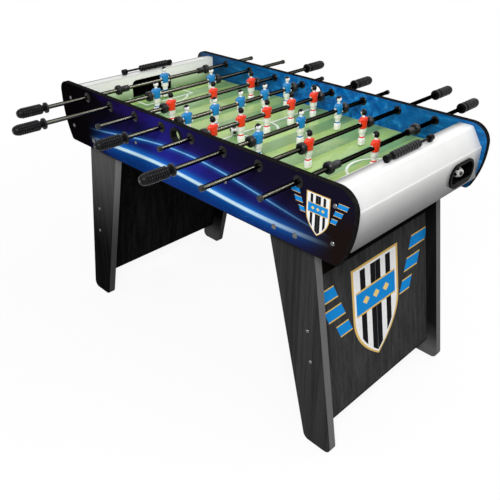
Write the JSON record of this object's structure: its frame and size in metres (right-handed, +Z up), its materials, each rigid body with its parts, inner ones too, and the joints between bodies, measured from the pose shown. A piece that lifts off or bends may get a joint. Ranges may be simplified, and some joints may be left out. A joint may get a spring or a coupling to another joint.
{
  "type": "foosball table",
  "caption": "Foosball table with a curved-end cabinet on slanted legs, sliding and spinning rods with players, score counters, goals and ball return cups.",
  "frame": {"origin": "on the floor, under the centre of the cabinet", "axes": "+X along the cabinet towards the right end seen from the front, +Y across it along the rods towards the back, +Z up"},
  "size_m": [1.22, 1.223, 0.831],
  "materials": {
    "printed_panel": "glossy printed laminate on board",
    "edge_trim": "satin black edging",
    "pitch": "printed, satin",
    "raw_wood": "sawn",
    "white_board": "satin laminate",
    "white_gloss": "gloss moulding",
    "black_plastic": "satin moulding",
    "charcoal_board": "wood-grain laminate",
    "black_board": "satin laminate",
    "bright_screw": "polished",
    "chromed_rod": "polished",
    "blue_player": "moulded, painted",
    "red_player": "moulded, painted",
    "grip": "ribbed moulding",
    "bumper_rubber": "satin",
    "ball": "gloss"
  },
  "bodies": {
    "cabinet": {"side_panel_front": "printed_panel", "side_panel_back": "printed_panel", "edge_trims": "edge_trim", "playfield": "pitch", "field_cross_bars": "raw_wood", "end_wall_left": "white_board", "end_wall_right": "white_board", "end_apron_left": "white_gloss", "end_apron_right": "white_gloss", "corner_battens": "raw_wood", "goal_box_left": "black_plastic", "goal_box_right": "black_plastic", "ball_return_left": "black_plastic", "ball_return_right": "black_plastic", "ball_entry_cups": "black_plastic", "rod_bearings": "black_plastic", "score_bars": "black_plastic", "leg_boards_left": "charcoal_board", "leg_boards_right": "charcoal_board", "leg_panel_left": "charcoal_board", "leg_panel_right": "charcoal_board", "leg_rails": "black_board", "cabinet_screws": "bright_screw", "leg_screws": "bright_screw"},
    "rod_1": {"rod_1_tube": "chromed_rod"},
    "team_rod_1": {"rod_1_players": "blue_player", "rod_1_handle": "grip", "rod_1_stops": "bumper_rubber"},
    "rod_2": {"rod_2_tube": "chromed_rod"},
    "team_rod_2": {"rod_2_players": "blue_player", "rod_2_handle": "grip", "rod_2_stops": "bumper_rubber"},
    "rod_3": {"rod_3_tube": "chromed_rod"},
    "team_rod_3": {"rod_3_players": "red_player", "rod_3_handle": "grip", "rod_3_stops": "bumper_rubber"},
    "rod_4": {"rod_4_tube": "chromed_rod"},
    "team_rod_4": {"rod_4_players": "blue_player", "rod_4_handle": "grip", "rod_4_stops": "bumper_rubber"},
    "rod_5": {"rod_5_tube": "chromed_rod"},
    "team_rod_5": {"rod_5_players": "red_player", "rod_5_handle": "grip", "rod_5_stops": "bumper_rubber"},
    "rod_6": {"rod_6_tube": "chromed_rod"},
    "team_rod_6": {"rod_6_players": "blue_player", "rod_6_handle": "grip", "rod_6_stops": "bumper_rubber"},
    "rod_7": {"rod_7_tube": "chromed_rod"},
    "team_rod_7": {"rod_7_players": "red_player", "rod_7_handle": "grip", "rod_7_stops": "bumper_rubber"},
    "rod_8": {"rod_8_tube": "chromed_rod"},
    "team_rod_8": {"rod_8_players": "red_player", "rod_8_handle": "grip", "rod_8_stops": "bumper_rubber"},
    "beads_left": {"score_beads_left": "black_plastic"},
    "beads_right": {"score_beads_right": "black_plastic"},
    "ball_on_pitch": {"ball_in_play": "ball"},
    "ball_in_cup": {"ball_in_return": "ball"}
  },
  "joints": [
    {"name": "rod_1_slide", "type": "slide", "parent": "cabinet", "child": "rod_1", "axis": [0, 1, 0], "range_m": [-0.0885, 0.0885]},
    {"name": "rod_1_spin", "type": "hinge", "parent": "rod_1", "child": "team_rod_1", "pos_m": [-0.4445, 0, 0.787], "axis": [0, 1, 0], "continuous": true},
    {"name": "rod_2_slide", "type": "slide", "parent": "cabinet", "child": "rod_2", "axis": [0, 1, 0], "range_m": [-0.1185, 0.1465]},
    {"name": "rod_2_spin", "type": "hinge", "parent": "rod_2", "child": "team_rod_2", "pos_m": [-0.3175, -0.014, 0.787], "axis": [0, 1, 0], "continuous": true},
    {"name": "rod_3_slide", "type": "slide", "parent": "cabinet", "child": "rod_3", "axis": [0, 1, 0], "range_m": [-0.0785, 0.0785]},
    {"name": "rod_3_spin", "type": "hinge", "parent": "rod_3", "child": "team_rod_3", "pos_m": [-0.1905, 0, 0.787], "axis": [0, 1, 0], "continuous": true},
    {"name": "rod_4_slide", "type": "slide", "parent": "cabinet", "child": "rod_4", "axis": [0, 1, 0], "range_m": [-0.0335, 0.0335]},
    {"name": "rod_4_spin", "type": "hinge", "parent": "rod_4", "child": "team_rod_4", "pos_m": [-0.0635, 0, 0.787], "axis": [0, 1, 0], "continuous": true},
    {"name": "rod_5_slide", "type": "slide", "parent": "cabinet", "child": "rod_5", "axis": [0, 1, 0], "range_m": [-0.0195, 0.0475]},
    {"name": "rod_5_spin", "type": "hinge", "parent": "rod_5", "child": "team_rod_5", "pos_m": [0.0635, -0.014, 0.787], "axis": [0, 1, 0], "continuous": true},
    {"name": "rod_6_slide", "type": "slide", "parent": "cabinet", "child": "rod_6", "axis": [0, 1, 0], "range_m": [-0.0705, 0.0865]},
    {"name": "rod_6_spin", "type": "hinge", "parent": "rod_6", "child": "team_rod_6", "pos_m": [0.1905, -0.008, 0.787], "axis": [0, 1, 0], "continuous": true},
    {"name": "rod_7_slide", "type": "slide", "parent": "cabinet", "child": "rod_7", "axis": [0, 1, 0], "range_m": [-0.1295, 0.1355]},
    {"name": "rod_7_spin", "type": "hinge", "parent": "rod_7", "child": "team_rod_7", "pos_m": [0.3175, -0.003, 0.787], "axis": [0, 1, 0], "continuous": true},
    {"name": "rod_8_slide", "type": "slide", "parent": "cabinet", "child": "rod_8", "axis": [0, 1, 0], "range_m": [-0.0825, 0.0945]},
    {"name": "rod_8_spin", "type": "hinge", "parent": "rod_8", "child": "team_rod_8", "pos_m": [0.4445, -0.006, 0.787], "axis": [0, 1, 0], "continuous": true},
    {"name": "beads_left_slide", "type": "slide", "parent": "cabinet", "child": "beads_left", "axis": [0, 1, 0], "range_m": [-0.0555, 0.0015]},
    {"name": "beads_right_slide", "type": "slide", "parent": "cabinet", "child": "beads_right", "axis": [0, 1, 0], "range_m": [-0.0115, 0.0455]},
    {"name": "pitch_ball_roll", "type": "slide", "parent": "cabinet", "child": "ball_on_pitch", "axis": [0, 1, 0], "range_m": [-0.186, 0.35]},
    {"name": "cup_ball_roll", "type": "slide", "parent": "cabinet", "child": "ball_in_cup", "axis": [0, 1, 0], "range_m": [-0.052, 0.005]}
  ]
}
